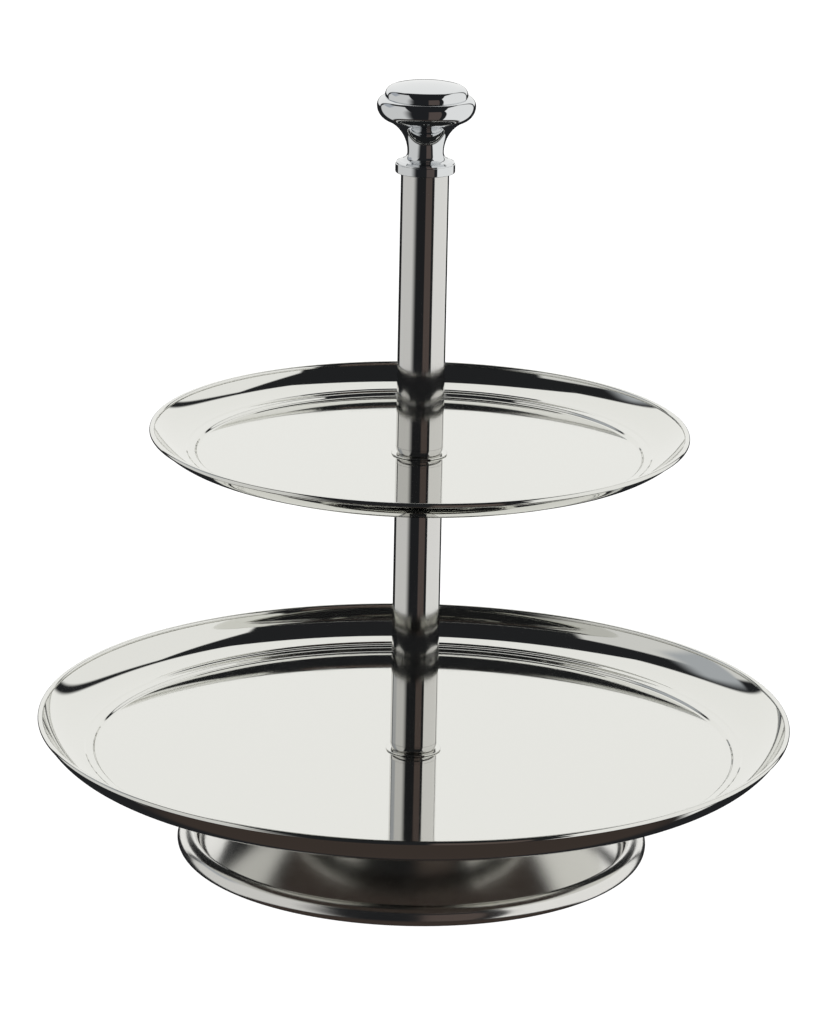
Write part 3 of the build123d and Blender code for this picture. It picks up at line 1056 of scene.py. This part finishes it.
@dataclass
class Studio:
    """The pale floor, the room that the metal reflects and the camera.

    Attributes:
        floor_half: Half the floor's side, metres.
        floor_colour: sRGB hex of the floor's paint.
        floor_glow: Strength of the floor's own white light.
        below: sRGB hex of the room seen steeply downwards, painted shade of the table in the
            stand's shadow.
        dark: sRGB hex of the room between the panels.
        ground_edge: Angles above the horizon over which the one becomes the other, degrees.
        panels: The panels, each one laid over those before it.
        sensor: Width of the camera's sensor, millimetres.
        lens: Focal length, millimetres.
        clip: Nearest and farthest distances that the camera sees, metres.
        aim: Point that the camera looks at, as (x, z).
        distance: Distance of the camera from that point.
        elevation: Angle of the camera above it.
        roll: Turn of the camera about its own view.
    """

    floor_half: float = 40.0
    floor_colour: str = "9A9A98"
    floor_glow: float = 1.0
    # Painted shade: the dark brown of the table in the stand's own shadow, which the metal mirrors
    # in place of the floor
    below: str = "3F3733"
    dark: str = "242527"
    ground_edge: tuple[float, float] = (-54.0, -44.0)
    panels: tuple[Panel, ...] = (
        Panel("FDFDFB", 180.0, -34.0, 44.0, 1.88, low=-2.0),
        Panel("FAFAF8", 90.0, -42.0, 50.0, 1.72, fall_left=0.9, fall_right=0.05),
        Panel("DEDEDC", -90.0, -39.0, 44.0, 1.73, 1.9, 0.9, soft=(3.0, 14.0), soft_top=0.1),
        Panel("B2B6BB", -115.0, -16.0, 16.0, 0.84, low=18.0, soft=(5.0, 5.0), soft_top=0.15),
        Panel("5A504C", 20.0, -14.0, 16.0, 0.53, soft=(2.0, 1.0)),
    )
    sensor: float = 36.0
    lens: float = 183.3
    clip: tuple[float, float] = (0.05, 200.0)
    aim: Point = (-0.25 * MM, 149.3 * MM)
    distance: float = 2197.2 * MM
    elevation: float = radians(16.25)
    roll: float = 0.0207

    def build_room(self) -> None:
        """Builds the room that the metal reflects: the panels on a dark surround."""
        world = bpy.data.worlds.new("Soft studio room")
        bpy.context.scene.world = world
        world.use_nodes = True
        tree = world.node_tree
        tree.nodes.clear()
        direction = add_node(tree, "ShaderNodeTexCoord").outputs["Generated"]
        split = add_node(tree, "ShaderNodeSeparateXYZ", inputs={0: direction})
        up = add_node(
            tree,
            "ShaderNodeMapRange",
            {"interpolation_type": "SMOOTHSTEP"},
            {
                "Value": split.outputs[2],
                "From Min": sin(radians(self.ground_edge[0])),
                "From Max": sin(radians(self.ground_edge[1])),
            },
        )
        # Steeply downwards the room is painted shade, the table in the stand's shadow, blended into
        # the dark surround
        colour = add_node(
            tree,
            "ShaderNodeMix",
            {"data_type": "RGBA"},
            {
                "Factor": up.outputs[0],
                MIX_UNDER: linear(self.below),
                MIX_OVER: linear(self.dark),
            },
        ).outputs[MIX_RESULT]
        for panel in self.panels:
            colour = add_node(
                tree,
                "ShaderNodeMix",
                {"data_type": "RGBA"},
                {
                    "Factor": panel.mask(tree, direction),
                    MIX_UNDER: colour,
                    MIX_OVER: linear(panel.colour),
                },
            ).outputs[MIX_RESULT]
        background = add_node(
            tree, "ShaderNodeBackground", inputs={"Color": colour, "Strength": 1.0}
        )
        add_node(tree, "ShaderNodeOutputWorld", inputs={"Surface": background.outputs[0]})

    def build_floor(self) -> None:
        """Builds the glowing white floor, which the metal doesn't mirror."""
        half = self.floor_half
        mesh = bpy.data.meshes.new("floor")
        corners = [(-half, -half, 0), (half, -half, 0), (half, half, 0), (-half, half, 0)]
        mesh.from_pydata(corners, [], [(0, 1, 2, 3)])
        floor = bpy.data.objects.new("floor", mesh)
        bpy.context.scene.collection.objects.link(floor)
        material = bpy.data.materials.new("White painted board")
        material.use_nodes = True
        tree = material.node_tree
        tree.nodes.clear()
        shader = add_node(
            tree,
            "ShaderNodeBsdfPrincipled",
            inputs={
                "Base Color": linear(self.floor_colour),
                "Roughness": 0.9,
                "Specular IOR Level": 0.0,
                "Emission Color": linear("FFFFFF"),
                "Emission Strength": self.floor_glow,
            },
        )
        add_node(tree, "ShaderNodeOutputMaterial", inputs={"Surface": shader.outputs[0]})
        mesh.materials.append(material)
        floor.visible_glossy = False

    def build_camera(self) -> None:
        """Builds the camera: it looks at the aim point from above, with a slight roll."""
        data = bpy.data.cameras.new("camera")
        camera = bpy.data.objects.new("camera", data)
        bpy.context.scene.collection.objects.link(camera)
        data.lens = self.lens
        data.sensor_width = self.sensor
        data.sensor_fit = "AUTO"
        data.clip_start, data.clip_end = self.clip
        back = Vector((0.0, -cos(self.elevation), sin(self.elevation)))
        aim = Vector((self.aim[0], 0.0, self.aim[1]))
        upright = (-back).to_track_quat("-Z", "Y").to_matrix().to_4x4()
        rolled = upright @ Matrix.Rotation(self.roll, 4, "Z")
        camera.matrix_world = Matrix.Translation(aim + back * self.distance) @ rolled
        bpy.context.scene.camera = camera

    def build(self) -> None:
        """Builds the whole studio."""
        self.build_room()
        self.build_floor()
        self.build_camera()
        bpy.context.scene.view_settings.view_transform = "Standard"
        bpy.context.scene.view_settings.look = "None"


def main() -> None:
    """Builds the studio and the stand, from the foot up."""
    logging.basicConfig(level=logging.INFO, format="%(message)s")
    Studio().build()
    Foot().build()
    TieRod().build()
    Tray("lower_tray", 160.0 * MM, 15.5 * MM, 135.6 * MM, 6.0).build()
    Tray("upper_tray", 113.35 * MM, 10.8 * MM, 93.3 * MM, 10.5).build()
    Bush("lower_bush").build()
    Bush("upper_bush").build()
    Post("lower_post", "lower_tube", "lower_tube_foot", "lower_tube_plug").build()
    Post("upper_post", "upper_tube", "upper_tube_foot").build()
    Knob().build()


if __name__ == "__main__":
    main()
